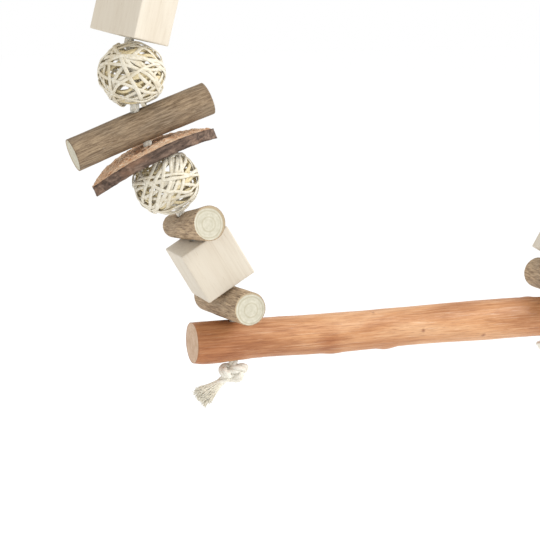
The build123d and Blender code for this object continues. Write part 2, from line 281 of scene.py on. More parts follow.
def end_grain_material(name, seed):
    """Pale sawn end: growth rings round the heart, faint rays and saw marks."""
    s = Shader(name, 0.75)
    s.bsdf.inputs["Specular IOR Level"].default_value = 0.2
    shift = (seed * 0.37, seed * 0.71, 0)
    wobble = s.noise(s.scaled((120, 120, 0), shift), 1.0, 3, 0.5)
    flat = s.scaled((1, 1, 0), (0.0011 * sin(seed), 0.0009 * cos(seed), 0))
    radius = s.math("ADD", s.length(flat), s.math("MULTIPLY", wobble, 0.0016))
    share = s.math("MULTIPLY", radius, LOG_END_SCALE)
    rings = s.math("FRACT", s.math("MULTIPLY", radius, 540.0))
    ring = s.ramp(rings, (0.0, 0.0), (0.72, 0.25), (0.9, 1.0), (1.0, 0.1))
    wide = s.noise(s.scaled((330, 330, 0), shift), 1.0, 4, 0.6)
    pale = s.ramp(wide, (0.35, (0.58, 0.545, 0.425)), (0.65, (0.70, 0.665, 0.545)))
    colour = s.mix(s.math("MULTIPLY", ring, 0.3), pale, (0.45, 0.40, 0.27))
    for place, tone in ((0.47, 0.38), (0.84, 0.46)):
        band = s.ramp(
            share, (place - 0.045, 0.0), (place - 0.005, 1.0), (place + 0.02, 0.7), (place + 0.06, 0.0)
        )
        colour = s.mix(s.math("MULTIPLY", band, tone), colour, (0.42, 0.36, 0.22))
    rim = s.ramp(share, (0.955, 0.0), (0.995, 1.0))
    colour = s.mix(s.math("MULTIPLY", rim, 0.7), colour, (0.46, 0.33, 0.18))
    heart = s.ramp(s.math("MULTIPLY", radius, 700.0), (0.45, 1.0), (0.75, 0.0))
    colour = s.mix(s.math("MULTIPLY", heart, 0.55), colour, (0.80, 0.74, 0.60))
    saw = s.noise(s.scaled((90, 1500, 0), shift), 1.0, 5, 0.6)
    return s.finish(colour, None, ((ring, 0.12), (saw, 0.18)), 0.2 * MM)


def pale_wood_material(name, seed):
    """Planed pale block: straight fine grain along Z, pores and small flecks."""
    s = Shader(name, 0.62)
    s.bsdf.inputs["Specular IOR Level"].default_value = 0.3
    shift = (seed * 0.91, seed * 2.3, seed * 1.3)
    grain = s.noise(s.scaled((520, 300, 26), shift), 1.0, 6, 0.65, 0.6)
    broad = s.noise(s.scaled((70, 60, 9), shift), 1.0, 3, 0.5, 0.8)
    pores = s.noise(s.scaled((1700, 1700, 140), shift), 1.0, 3, 0.5)
    base = s.ramp(
        grain, (0.32, (0.64, 0.555, 0.435)), (0.5, (0.73, 0.655, 0.535)), (0.7, (0.78, 0.71, 0.59))
    )
    warm = s.ramp(broad, (0.34, (0.70, 0.62, 0.50)), (0.66, (0.78, 0.715, 0.60)))
    colour = s.mix(0.5, base, warm)
    colour = s.mix(s.ramp(pores, (0.64, 0.0), (0.76, 0.5)), colour, (0.50, 0.38, 0.24))
    rough = s.ramp(grain, (0.3, 0.74), (0.7, 0.56))
    return s.finish(colour, rough, ((grain, 0.18), (pores, 0.2)), 0.2 * MM)


def branch_material(name, seed, marks=(), blushes_and_shade=()):
    """Smooth debarked branch: orange-brown with fine fibres and darker blushes, partly real blush and partly
    painted shade.
    """
    s = Shader(name, 0.5)
    s.bsdf.inputs["Specular IOR Level"].default_value = 0.35
    s.bsdf.inputs["Coat Weight"].default_value = 0.06
    shift = (seed, seed * 0.5, seed * 0.25)
    fibre = s.noise(s.scaled((40, 780, 780), shift), 1.0, 7, 0.72, 0.35)
    fine = s.noise(s.scaled((90, 1900, 1900), shift), 1.0, 4, 0.7)
    blush = s.noise(s.scaled((13, 44, 44), shift), 1.0, 4, 0.55, 0.7)
    base = s.ramp(
        fibre,
        (0.32, (0.34, 0.130, 0.045)),
        (0.44, (0.60, 0.275, 0.110)),
        (0.55, (0.76, 0.385, 0.175)),
        (0.68, (0.90, 0.560, 0.310)),
    )
    warm = s.ramp(
        blush, (0.34, (0.34, 0.135, 0.05)), (0.50, (0.64, 0.33, 0.155)), (0.66, (0.82, 0.53, 0.31))
    )
    colour = s.mix(0.5, base, warm)
    colour = s.mix(s.ramp(fine, (0.52, 0.0), (0.66, 0.6)), colour, (0.36, 0.15, 0.06))
    streaks = s.noise(s.scaled((38, 1500, 1500), (seed * 2, 0, 0)), 1.0, 6, 0.75)
    colour = s.mix(s.ramp(streaks, (0.56, 0.0), (0.70, 0.55)), colour, (0.97, 0.74, 0.55))
    # Darker patches multiplied into the colour, partly real blush and partly painted shade: the underside's
    # shade and the log's shadow at the left end.
    for place, reach, amount in blushes_and_shade:
        away = s.away_from(place, 0.7 / reach, s.math("MULTIPLY", fibre, 0.45))
        shade = s.ramp(away, (0.25, 1.0), (0.45, 0.75), (0.70, 0.25), (0.95, 0.0))
        colour = s.mix(s.math("MULTIPLY", shade, amount), colour, (0.74, 0.50, 0.33), "MULTIPLY")
    for place, reach in marks:
        away = s.away_from(place, 1 / reach, s.math("MULTIPLY", fibre, 0.6))
        mark = s.ramp(away, (0.45, 0.85), (0.75, 0.35), (1.0, 0.0))
        colour = s.mix(mark, colour, (0.30, 0.12, 0.055))
    rough = s.ramp(fibre, (0.3, 0.62), (0.7, 0.42))
    return s.finish(colour, rough, ((fibre, 0.35), (fine, 0.25)), 0.3 * MM)


def rattan_material(name, seed, shade=(1.0, 1.0, 1.0)):
    """Peeled, bleached cane with fine lengthwise fibres and warm stains."""
    s = Shader(name, 0.5)
    shift = (seed, seed * 1.9, seed * 0.3)
    fibre = s.noise(s.scaled((900, 900, 900), shift), 1.0, 5, 0.6, 1.2)
    stain = s.noise(s.scaled((85, 85, 85), shift), 1.0, 3, 0.5)
    dark, pale = times((0.70, 0.62, 0.46), shade), times((0.92, 0.88, 0.76), shade)
    base = s.ramp(fibre, (0.35, dark), (0.65, pale))
    colour = s.mix(s.ramp(stain, (0.52, 0.0), (0.75, 0.6)), base, (0.60, 0.48, 0.27))
    rough = s.ramp(fibre, (0.3, 0.6), (0.7, 0.42))
    return s.finish(colour, rough, ((fibre, 0.3),), 0.15 * MM)


def husk_material(name, seed):
    """Husk's outer face: light orange-tan fibres torn over dark brown."""
    s = Shader(name, 0.9)
    s.bsdf.inputs["Specular IOR Level"].default_value = 0.2
    shift = (seed * 1.3, seed * 0.7, seed)
    fibre = s.noise(s.scaled((240, 950, 950), shift), 1.0, 8, 0.75, 0.9)
    flakes = s.noise(s.scaled((260, 360, 360), shift), 1.0, 7, 0.75, 0.5)
    patch = s.noise(s.scaled((42, 62, 62), shift), 1.0, 4, 0.6)
    base = s.ramp(
        fibre, (0.36, (0.30, 0.12, 0.055)), (0.44, (0.86, 0.47, 0.25)), (0.56, (1.0, 0.80, 0.58))
    )
    dark = s.ramp(flakes, (0.44, (0.10, 0.042, 0.022)), (0.56, (0.74, 0.38, 0.20)))
    colour = s.mix(s.ramp(patch, (0.53, 0.05), (0.62, 0.85)), base, dark)
    return s.finish(colour, None, ((flakes, 0.6), (fibre, 0.6)), 0.8 * MM)


def husk_edge_material(name, seed):
    """Husk's cut edge and inside: dark purple-brown with a dry bloom."""
    s = Shader(name, 0.8)
    s.bsdf.inputs["Specular IOR Level"].default_value = 0.25
    shift = (seed * 0.9, seed * 1.1, seed * 2.0)
    grain = s.noise(s.scaled((120, 420, 420), shift), 1.0, 7, 0.7, 0.4)
    bloom = s.noise(s.scaled((75, 75, 110), shift), 1.0, 4, 0.6)
    base = s.ramp(
        grain, (0.34, (0.045, 0.030, 0.022)), (0.5, (0.14, 0.092, 0.068)), (0.68, (0.32, 0.22, 0.16))
    )
    colour = s.mix(s.ramp(bloom, (0.54, 0.0), (0.70, 0.5)), base, (0.36, 0.20, 0.12))
    return s.finish(colour, None, ((grain, 0.6), (bloom, 0.3)), 0.5 * MM)


def cord_material(name, tint):
    """Cream cotton yarn, matt, with fine fibre noise along the strands."""
    s = Shader(name, 0.9)
    s.bsdf.inputs["Sheen Weight"].default_value = 0.25
    fibre = s.noise(s.scaled((1500, 1500, 1500)), 1.0, 6, 0.65, 2.0)
    soil = s.noise(s.scaled((130, 130, 130)), 1.0, 3, 0.5)
    base = s.ramp(fibre, (0.3, times(tint, 0.68)), (0.62, times(tint, 0.86)))
    colour = s.mix(s.ramp(soil, (0.52, 0.0), (0.78, 0.35)), base, (0.66, 0.56, 0.38))
    return s.finish(colour, None, ((fibre, 0.6),), 0.25 * MM)


def metal_material(name, colour, roughness):
    """Plated steel with fine rub marks and a little tarnish."""
    s = Shader(name, roughness, Metallic=1.0)
    rub = s.noise(s.scaled((2600, 2600, 500)), 1.0, 5, 0.7)
    tarnish = s.noise(s.scaled((260, 260, 260)), 1.0, 3, 0.55)
    shade = s.mix(s.ramp(tarnish, (0.45, 0.0), (0.75, 0.55)), colour, times(colour, 0.55))
    rough = s.ramp(rub, (0.3, roughness * 0.7), (0.7, min(1.0, roughness * 1.7)))
    return s.finish(shade, rough, ((rub, 0.12),), 0.05 * MM)


# Mesh helpers ----------------------------------------------------------------


def new_piece(name, mesh, body, nodes, matrix=None):
    """Object from a mesh that rides on a body and stands for its CAD nodes."""
    mesh.name = name
    piece = bpy.data.objects.new(name, mesh)
    bpy.context.scene.collection.objects.link(piece)
    if matrix is not None:
        piece.matrix_world = matrix
    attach(piece, body)
    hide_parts(*nodes)
    return piece


def mesh_from(name, vertices, faces, materials, material_of=None, smooth=True):
    """Mesh with its materials in place, so that a drilled copy keeps them."""
    mesh = bpy.data.meshes.new(name)
    for material in materials:
        mesh.materials.append(material)
    mesh.from_pydata([tuple(v) for v in vertices], [], faces)
    for number, polygon in enumerate(mesh.polygons):
        polygon.use_smooth = smooth
        if material_of is not None:
            polygon.material_index = material_of[number]
    mesh.validate()
    mesh.update()
    return mesh


def points_of(node):
    return np.array([v.co for v in NODES[node].data.vertices], float)


def box_centre(node):
    low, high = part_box(node)
    return (low + high) / 2


def rope_line(node):
    """Centre of a threaded piece and its unit rope direction, from its joint."""
    joint = JOINTS[node]
    up = np.array(joint["axis"], float)
    return np.array(joint["pos_m"], float), up / np.linalg.norm(up)


def local_frame(node):
    """Centre on the rope, unit rope direction, and the node's longest direction across it."""
    centre, up = rope_line(node)
    flat = points_of(node) - centre
    flat -= np.outer(flat @ up, up)
    _, vectors = np.linalg.eigh(flat.T @ flat)
    along = vectors[:, 2] - (vectors[:, 2] @ up) * up
    along /= np.linalg.norm(along)
    if along[1] > 0:
        along = -along
    return centre, up, along


def matrix_from(x, y, z, origin):
    return Matrix((
        (x[0], y[0], z[0], origin[0]),
        (x[1], y[1], z[1], origin[1]),
        (x[2], y[2], z[2], origin[2]),
        (0, 0, 0, 1),
    ))


def cut_hole(mesh, direction, radius=HOLE_RADIUS, reach=0.09, at=(0, 0, 0)):
    """Drills a straight hole right through a closed mesh, in its own coordinates."""
    target = bpy.data.objects.new("target", mesh)
    bpy.context.scene.collection.objects.link(target)
    drill = bmesh.new()
    bmesh.ops.create_cone(
        drill, cap_ends=True, segments=40, radius1=radius, radius2=radius, depth=2 * reach
    )
    turn = Vector((0, 0, 1)).rotation_difference(Vector(direction)).to_matrix().to_4x4()
    bmesh.ops.transform(drill, matrix=Matrix.Translation(Vector(at)) @ turn, verts=drill.verts)
    drill_mesh = bpy.data.meshes.new("drill")
    drill.to_mesh(drill_mesh)
    drill.free()
    cutter = bpy.data.objects.new("drill", drill_mesh)
    bpy.context.scene.collection.objects.link(cutter)
    boolean = target.modifiers.new("hole", "BOOLEAN")
    boolean.operation = "DIFFERENCE"
    boolean.solver = "EXACT"
    boolean.object = cutter
    bpy.context.view_layer.update()
    graph = bpy.context.evaluated_depsgraph_get()
    cut = bpy.data.meshes.new_from_object(target.evaluated_get(graph))
    bpy.data.objects.remove(target)
    bpy.data.objects.remove(cutter)
    return cut


def add_sleeve(faces, start, rows, around):
    """Quads of a tube whose rings of vertices follow one another from start."""
    for row in range(rows):
        a = start + row * around
        b = a + around
        for step in range(around):
            after = (step + 1) % around
            faces.append((a + step, a + after, b + after, b + step))


def add_cap(faces, outer, inner, sign):
    """Faces from a ring to the next ring or to the one vertex inside it, facing along sign."""
    for step, vertex in enumerate(outer):
        after = (step + 1) % len(outer)
        if len(inner) == 1:
            face = (vertex, outer[after], inner[0])
        else:
            face = (vertex, outer[after], inner[after], inner[step])
        faces.append(face if sign > 0 else face[::-1])


def fbm(point, scale, seed, octaves=4):
    """Fractal noise, about -1 to 1, at a point in metres."""
    place = Vector((point[0], point[1], point[2])) * scale + Vector((seed * 7.3, seed * 3.1, seed))
    return noise.fractal(place, 1.0, 2.0, octaves)


# Wooden pieces ---------------------------------------------------------------


def log_mesh(name, low, high, radius_low, radius_high, seed, materials):
    """Bark-covered round log along its own Z, with flush sawn ends."""
    length = high - low
    rows, around = max(24, int(length / (0.9 * MM))), 88
    bend = 0.45 * MM
    vertices, faces = [], []
    for row in range(rows + 1):
        share = row / rows
        z = low + length * share
        radius = radius_low + (radius_high - radius_low) * share
        swing = bend * sin(pi * share)
        for step in range(around):
            angle = 2 * pi * step / around
            x, y = cos(angle), sin(angle)
            lump = 0.9 * fbm((x * 0.01, y * 0.01, z * 0.5), 110, seed, 3)
            ridge = 0.6 * fbm((x * 0.011, y * 0.011, z * 0.07), 900, seed + 9, 3)
            size = radius - BARK_DEPTH * (1.0 - 0.5 * lump - 0.55 * ridge)
            vertices.append((
                size * x + swing * cos(seed),
                size * y + swing * sin(seed) - bend * 0.5 * sin(seed),
                z,
            ))
    add_sleeve(faces, 0, rows, around)
    kinds = [0] * len(faces)
    for row, sign in ((0, -1), (rows, 1)):
        ring_start = row * around
        last = [ring_start + step for step in range(around)]
        for inward, lift, kind in LOG_END_RINGS:
            ring = []
            for step in range(around):
                x, y, z = vertices[ring_start + step]
                px = x * inward
                py = y * inward
                rough = 0.05 * fbm((px, py, sign * 0.01), 1500, seed, 3)
                ring.append(len(vertices))
                vertices.append((px, py, z + sign * (lift + rough) * MM))
            add_cap(faces, last, ring, sign)
            kinds += [kind] * around
            last = ring
        middle = len(vertices)
        vertices.append((0.0, 0.0, vertices[ring_start][2]))
        add_cap(faces, last, [middle], sign)
        kinds += [1] * around
    return mesh_from(name, vertices, faces, materials, kinds)


def make_log(node, seed):
    """A log that the rope crosses, or a rod that it runs through lengthwise."""
    centre, up, along = local_frame(node)
    is_rod = "rod" in node
    points = points_of(node) - centre
    edge = 2.0 * MM
    z_dir = up
    if not is_rod:
        reach = points @ along
        far, near = points[reach > reach.max() - edge], points[reach < reach.min() + edge]
        z_dir = far.mean(axis=0) - near.mean(axis=0)
        z_dir /= np.linalg.norm(z_dir)
    x_dir = along if is_rod else up - (up @ z_dir) * z_dir
    x_dir /= np.linalg.norm(x_dir)
    y_dir = np.cross(z_dir, x_dir)
    lengthwise = points @ z_dir
    low, high = lengthwise.min(), lengthwise.max()
    across = np.hypot(points @ x_dir, points @ y_dir)
    radius_low = across[lengthwise < low + edge].max()
    radius_high = across[lengthwise > high - edge].max()
    shade = 0.66 if "log_high" in node else 1.0
    materials = bark_material(node + "_bark", seed, shade), end_grain_material(node + "_end", seed)
    mesh = log_mesh(node, low, high, radius_low, radius_high, seed, materials)
    mesh = cut_hole(mesh, (up @ x_dir, up @ y_dir, up @ z_dir))
    place = matrix_from(x_dir, y_dir, z_dir, centre)
    return new_piece(node + "_wood", mesh, node, [node], place)


def make_block(node, seed):
    """Sawn cube with softly worn edges and a slightly uneven planed surface."""
    centre, up = rope_line(node)
    points = points_of(node) - centre
    top = points[(points @ up) > (points @ up).max() - 0.05 * MM]
    far = top[np.argmax(np.linalg.norm(top - np.outer(top @ up, up), axis=1))]
    half = (points @ up).max()
    corner = Vector(far - (far @ up) * up).normalized()
    side_angle = -np.arctan2((half - 0.6 * MM) / half, 1.0)
    x_dir = np.array(Matrix.Rotation(side_angle, 3, Vector(up)) @ corner)
    other = np.array(Matrix.Rotation(-side_angle, 3, Vector(up)) @ corner)
    reach_x, reach_other = (points @ x_dir).max(), (points @ other).max()
    if reach_other < reach_x:
        x_dir = other
    y_dir = np.cross(up, x_dir)
    cube = bmesh.new()
    bmesh.ops.create_cube(cube, size=2 * half)
    bmesh.ops.bevel(
        cube, geom=cube.edges[:], offset=0.9 * MM, segments=3, profile=0.6, affect="EDGES"
    )
    bmesh.ops.subdivide_edges(
        cube, edges=[e for e in cube.edges if e.calc_length() > 5 * MM], cuts=22, use_grid_fill=True
    )
    for vertex in cube.verts:
        dip = 0.5 + 0.5 * fbm(vertex.co, 160, seed, 4)
        vertex.co -= vertex.co.normalized() * (0.10 * MM * dip)
    mesh = bpy.data.meshes.new(node)
    cube.to_mesh(mesh)
    cube.free()
    mesh.materials.append(pale_wood_material(node + "_grain", seed))
    for polygon in mesh.polygons:
        polygon.use_smooth = True
    mesh = cut_hole(mesh, (0, 0, 1))
    place = matrix_from(x_dir, y_dir, up, centre)
    return new_piece(node + "_wood", mesh, node, [node], place)


def make_ball(node, seed):
    """Woven ball: flat cane strips that cross over and under round a hollow."""
    centre, up = rope_line(node)
    radius = np.linalg.norm(points_of(node) - centre, axis=1).max()
    draw = random.Random(seed)
    rope_room = HOLE_RADIUS + 0.75 * STRIP_WIDTH
    vertices, faces, kinds = [], [], []
    made = 0
    while made < STRIPS:
        pole = Vector((draw.gauss(0, 1), draw.gauss(0, 1), draw.gauss(0, 1))).normalized()
        offset = draw.uniform(-0.42, 0.42) * radius
        tilt = pole.z
        if min(abs(tilt * radius - offset), abs(-tilt * radius - offset)) < rope_room:
            continue
        layer = radius - STRIP_THICKNESS * (0.75 + 1.15 * (made % 3))
        ring = (layer**2 - offset**2) ** 0.5
        side = pole.orthogonal().normalized()
        front = pole.cross(side)
        waves, phase = draw.randint(5, 8), draw.uniform(0, 2 * pi)
        width = STRIP_WIDTH * draw.uniform(0.8, 1.15)
        start = len(vertices)
        for step in range(STRIP_STEPS):
            angle = 2 * pi * step / STRIP_STEPS
            outward = side * cos(angle) + front * sin(angle)
            weave = 0.55 * MM * sin(waves * angle + phase)
            drift = 0.7 * MM * sin(2 * angle + phase) + 0.35 * MM * sin(5 * angle + 2 * phase)
            spot = outward * (ring + min(weave, 0.35 * MM)) + pole * (offset + drift)
            normal = spot.normalized()
            across = (pole - normal * pole.dot(normal)).normalized()
            for w, t in STRIP_SECTION:
                vertices.append(spot + across * (w * width) + normal * (t * STRIP_THICKNESS))
        sides = len(STRIP_SECTION)
        for step in range(STRIP_STEPS):
            here, there = start + step * sides, start + ((step + 1) % STRIP_STEPS) * sides
            for k in range(sides):
                after = (k + 1) % sides
                faces.append((here + k, here + after, there + after, there + k))
        # The innermost layer takes a darker, yellower copy of the cane: painted shade inside the ball.
        kinds += [1 if made % 3 == 2 else 0] * (STRIP_STEPS * sides)
        made += 1
    outer = rattan_material(node + "_cane", seed)
    # Painted shade: the inner copy of the cane is tinted darker and yellower for the strips inside the ball.
    inner = rattan_material(node + "_inner_cane_painted_shade", seed, (0.96, 0.88, 0.66))
    mesh = mesh_from(node, vertices, faces, [outer, inner], kinds)
    x_dir = np.array(Vector(up).orthogonal().normalized())
    place = matrix_from(x_dir, np.cross(up, x_dir), up, centre)
    return new_piece(node + "_cane", mesh, node, [node], place)


def make_shell(node, seed):
    """Domed husk slice: fibrous crown, ragged back, smooth dark cut front."""
    centre, up, along = local_frame(node)
    if along[0] < 0:
        along = -along
    depth_dir = np.cross(up, along)
    points = points_of(node) - centre
    u, v, w = points @ along, points @ depth_dir, points @ up
    half_length, crown = (u.max() - u.min()) / 2, w.max()
    front, back = v.min(), v.max()
    thick = 2 * crown
    drop = crown - w[np.abs(u) > half_length - 1.0 * MM].max()
    dome = (half_length**2 + drop**2) / (2 * drop)
    columns, rows = 150, 54
    vertices, faces, kinds = [], [], []

    def outline(place, reach, ragged):
        share = max(0.0, 1.0 - place**2)
        depth = reach * (0.06 + 0.94 * share**0.8)
        if ragged:
            depth *= 1 - 0.11 * abs(fbm((place * 0.05, reach, 0), 420, seed, 5))
        return depth

    def point(i, j, top):
        place = -1 + 2 * i / columns
        x = half_length * place
        f, b = outline(place, front, False), outline(place, back, True)
        share = j / rows
        y = f + (b - f) * share
        bow = dome - (dome**2 - x * x - y * y) ** 0.5
        z = crown - bow
        if top:
            rise = fbm((x, y, 0), 190, seed, 5)
            tuft = fbm((x * 0.35, y, 0.01), 900, seed + 3, 4)
            edge = min(1.0, 5 * share, 6 * (1 - share))
            z -= MM * edge * (0.75 - 0.8 * rise - 0.7 * tuft)
            z -= 1.9 * MM * max(0.0, (share - 0.82) / 0.18) ** 1.5
        else:
            z -= thick - 0.25 * MM + 0.2 * MM * fbm((x, y, 0.02), 260, seed, 3)
            z -= SHELL_LIP * min(1.0, (x * x + y * y) / front**2) ** 1.5
        return x, y, z

    for top in (True, False):
        for i in range(columns + 1):
            for j in range(rows + 1):
                vertices.append(point(i, j, top))
    layer = (columns + 1) * (rows + 1)

    def at(i, j, top):
        return i * (rows + 1) + j + (0 if top else layer)

    for i in range(columns):
        for j in range(rows):
            faces.append((at(i, j, True), at(i + 1, j, True), at(i + 1, j + 1, True), at(i, j + 1, True)))
            kinds.append(1 if j < 2 else 0)
            faces.append((at(i, j, False), at(i, j + 1, False), at(i + 1, j + 1, False), at(i + 1, j, False)))
            kinds.append(1)
    rim = (
        [(i, 0) for i in range(columns)]
        + [(columns, j) for j in range(rows)]
        + [(i, rows) for i in range(columns, 0, -1)]
        + [(0, j) for j in range(rows, 0, -1)]
    )
    middle_rows = 4
    chains = []
    for i, j in rim:
        a, b = Vector(vertices[at(i, j, True)]), Vector(vertices[at(i, j, False)])
        chain = [at(i, j, True)]
        for k in range(1, middle_rows):
            spot = a.lerp(b, k / middle_rows)
            spot *= 1 - 0.008 * (0.5 + 0.5 * fbm(spot, 700, seed + 5, 4))
            chain.append(len(vertices))
            vertices.append(tuple(spot))
        chain.append(at(i, j, False))
        chains.append(chain)
    for number, chain in enumerate(chains):
        other = chains[(number + 1) % len(chains)]
        for k in range(middle_rows):
            faces.append((chain[k], chain[k + 1], other[k + 1], other[k]))
            kinds.append(1)
    materials = husk_material(node + "_crown", seed), husk_edge_material(node + "_edge", seed)
    mesh = cut_hole(mesh_from(node, vertices, faces, materials, kinds), (0, 0, 1))
    place = matrix_from(along, depth_dir, up, centre)
    return new_piece(node + "_husk", mesh, node, [node], place)


def make_perch():
    """Debarked branch: the CAD branch's own shape with a nub, knots and ripples."""
    tree = BVHTree.FromObject(NODES["perch"], bpy.context.evaluated_depsgraph_get())
    low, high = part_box("perch")
    level = box_centre("perch").z
    rows, around = 230, 96
    length = high.x - low.x
    vertices, faces = [], []
    for row in range(rows + 1):
        share = row / rows
        x = low.x + length * (0.0004 + 0.9992 * share)
        for step in range(around):
            angle = 2 * pi * step / around
            outward = Vector((0, cos(angle), sin(angle)))
            start = Vector((x, 0, level)) + outward * 0.03
            hit = tree.ray_cast(start, -outward)[0]
            distance = (hit - Vector((x, 0, level))).dot(outward) if hit else 0.0
            if distance < 0.7 * PERCH_RADIUS:
                distance = PERCH_OVER_HOLE
            ripple = 0.22 * fbm((x * 0.25, outward.y * 0.012, outward.z * 0.012), 160, 4, 4)
            fine = 0.05 * fbm((x * 0.12, outward.y * 0.012, outward.z * 0.012), 1300, 8, 3)
            lift = -0.25 + ripple + fine
            for place, turn, height, spread in PERCH_KNOTS:
                along = (share - place) * length / (spread * MM)
                away = ((angle - turn + pi) % (2 * pi) - pi) * 12.5 / spread
                lift += height * 1.4 * max(0.0, 1 - (along**2 + away**2) * 0.5) ** 2
            vertices.append(Vector((x, 0, level)) + outward * (distance + lift * MM))
    add_sleeve(faces, 0, rows, around)
    kinds = [0] * len(faces)
    for row, sign in ((0, -1), (rows, 1)):
        last = [row * around + step for step in range(around)]
        heart = sum((vertices[k] for k in last), Vector()) / around
        for inward, lift, kind in PERCH_END_RINGS:
            ring = []
            for step in range(around):
                spot = heart.lerp(vertices[row * around + step], inward)
                ring.append(len(vertices))
                vertices.append(spot + Vector((sign * lift * MM, 0, 0)))
            add_cap(faces, last, ring, sign)
            kinds += [kind] * around
            last = ring
        middle = len(vertices)
        vertices.append(heart.copy())
        add_cap(faces, last, [middle], sign)
        kinds += [1] * around

    def on_perch(share, turn):
        spot = Vector((low.x + length * share, 0, level))
        return spot + Vector((0, cos(turn), sin(turn))) * PERCH_RADIUS

    marks = [(on_perch(share, turn), spread * 0.8 * MM) for share, turn, _, spread in PERCH_KNOTS]
    # Partly painted shade: the underside's shade and the log's shadow at the left end, together with some
    # real blush.
    blushes_and_shade = [
        (on_perch(share, turn), reach * MM, amount) for share, turn, reach, amount in PERCH_BLUSHES_AND_SHADE
    ]
    materials = branch_material("perch_wood", 2.0, marks, blushes_and_shade), branch_end_material("perch_end", 3.0)
    mesh = mesh_from("perch", vertices, faces, materials, kinds)
    for hand in SIDES:
        head, foot = rope_run_at_perch(hand)
        mesh = cut_hole(mesh, foot - head, at=head)
    return new_piece("perch_branch", mesh, "arch", ["perch"])


def branch_end_material(name, seed):
    """Branch's sawn end: pinkish tan with faint rings about the X axis."""
    s = Shader(name, 0.75)
    shift = (seed, seed, seed)
    wide = s.noise(s.scaled((0, 200, 200), shift), 1.0, 5, 0.6)
    saw = s.noise(s.scaled((0, 1500, 160), shift), 1.0, 5, 0.6)
    level = box_centre("perch").z
    flat = s.scaled((0, 1, 1), (0, 0, -level))
    rings = s.math("FRACT", s.math("ADD", s.math("MULTIPLY", s.length(flat), 480.0), wide))
    ring = s.ramp(rings, (0.0, 0.0), (0.75, 0.3), (0.92, 1.0), (1.0, 0.1))
    base = s.ramp(wide, (0.35, (0.56, 0.37, 0.24)), (0.65, (0.70, 0.51, 0.36)))
    colour = s.mix(s.math("MULTIPLY", ring, 0.4), base, (0.42, 0.25, 0.14))
    return s.finish(colour, None, ((ring, 0.1), (saw, 0.2)), 0.2 * MM)


# Rope, knots and tassels -----------------------------------------------------


def rope_run_at_perch(hand):
    """Two points on the rope's upright run through the perch, upper first."""
    knot = box_centre(f"{hand}_knot")
    return knot + Vector((0, 0, 20 * MM)), knot


def meeting(a, a_dir, b, b_dir):
    """Where two lines in the arch's plane cross."""
    matrix = np.array([[a_dir[0], -b_dir[0]], [a_dir[2], -b_dir[2]]])
    s, _ = np.linalg.solve(matrix, np.array([b[0] - a[0], b[2] - a[2]]))
    return Vector(a) + Vector(a_dir) * s


def rope_points():
    """Control points of the rope's centre line: three to each bend between pieces."""
    apex = Vector(JOINTS["arch"]["pos_m"])
    whole = []
    for hand, side in SIDES.items():
        runs = [(apex, Vector((side, 0, 0)))]
        for name in reversed(THREADED):
            joint = JOINTS[f"{hand}_{name}"]
            runs.append((Vector(joint["pos_m"]), -Vector(joint["axis"]).normalized()))
        head, foot = rope_run_at_perch(hand)
        runs.append((foot, (foot - head).normalized()))
        points = []
        for (a, a_dir), (b, b_dir) in zip(runs, runs[1:]):
            if a_dir.angle(b_dir) < 0.002:
                continue
            corner = meeting(a, a_dir, b, b_dir)
            near = min(4.0 * MM, 0.35 * (corner - a).length, 0.35 * (b - corner).length)
            points += [corner - a_dir * near, corner, corner + b_dir * near]
        points.append(foot)
        whole.append(points)
    return list(reversed(whole[0])) + [apex] + whole[1]


def smooth_line(points, spacing=1.1 * MM):
    """Even points along the quadratic NURBS spline of these control points."""
    curve = bpy.data.curves.new("line", "CURVE")
    curve.dimensions = "3D"
    spline = curve.splines.new("NURBS")
    spline.points.add(len(points) - 1)
    for target, source in zip(spline.points, points):
        target.co = (*source, 1)
    spline.order_u = 3
    spline.use_endpoint_u = True
    spline.resolution_u = 12
    holder = bpy.data.objects.new("line", curve)
    bpy.context.scene.collection.objects.link(holder)
    bpy.context.view_layer.update()
    graph = bpy.context.evaluated_depsgraph_get()
    mesh = bpy.data.meshes.new_from_object(holder.evaluated_get(graph))
    line = np.array([v.co for v in mesh.vertices], float)
    bpy.data.objects.remove(holder)
    gaps = np.linalg.norm(np.diff(line, axis=0), axis=1)
    line = line[np.concatenate(([True], gaps > 1e-7))]
    reach = np.concatenate(([0], np.cumsum(np.linalg.norm(np.diff(line, axis=0), axis=1))))
    wanted = np.linspace(0, reach[-1], max(8, int(reach[-1] / spacing)))
    return np.stack([np.interp(wanted, reach, line[:, k]) for k in range(3)], 1), wanted


def frames_along(line):
    """Tangent and two steady cross directions at every point of a line."""
    tangents = np.gradient(line, axis=0)
    tangents /= np.linalg.norm(tangents, axis=1)[:, None]
    side = np.cross(tangents[0], (0.3, 1.0, 0.2))
    side /= np.linalg.norm(side)
    sides = []
    for tangent in tangents:
        side = side - tangent * (side @ tangent)
        side /= np.linalg.norm(side)
        sides.append(side)
    sides = np.array(sides)
    return tangents, sides, np.cross(tangents, sides)


def add_tube(vertices, faces, line, radii, around=9, ribs=0.0, seed=0):
    """Closed tube along a line, its surface lightly ribbed like plied yarn."""
    _, sides, others = frames_along(line)
    start = len(vertices)
    for number, spot in enumerate(line):
        for step in range(around):
            angle = 2 * pi * step / around
            size = radii[number] * (1 + ribs * sin(3 * angle + number * 0.9 + seed))
            vertices.append(spot + size * (sides[number] * cos(angle) + others[number] * sin(angle)))
    add_sleeve(faces, start, len(line) - 1, around)
    faces.append(tuple(start + step for step in reversed(range(around))))
    last = start + (len(line) - 1) * around
    faces.append(tuple(last + step for step in range(around)))


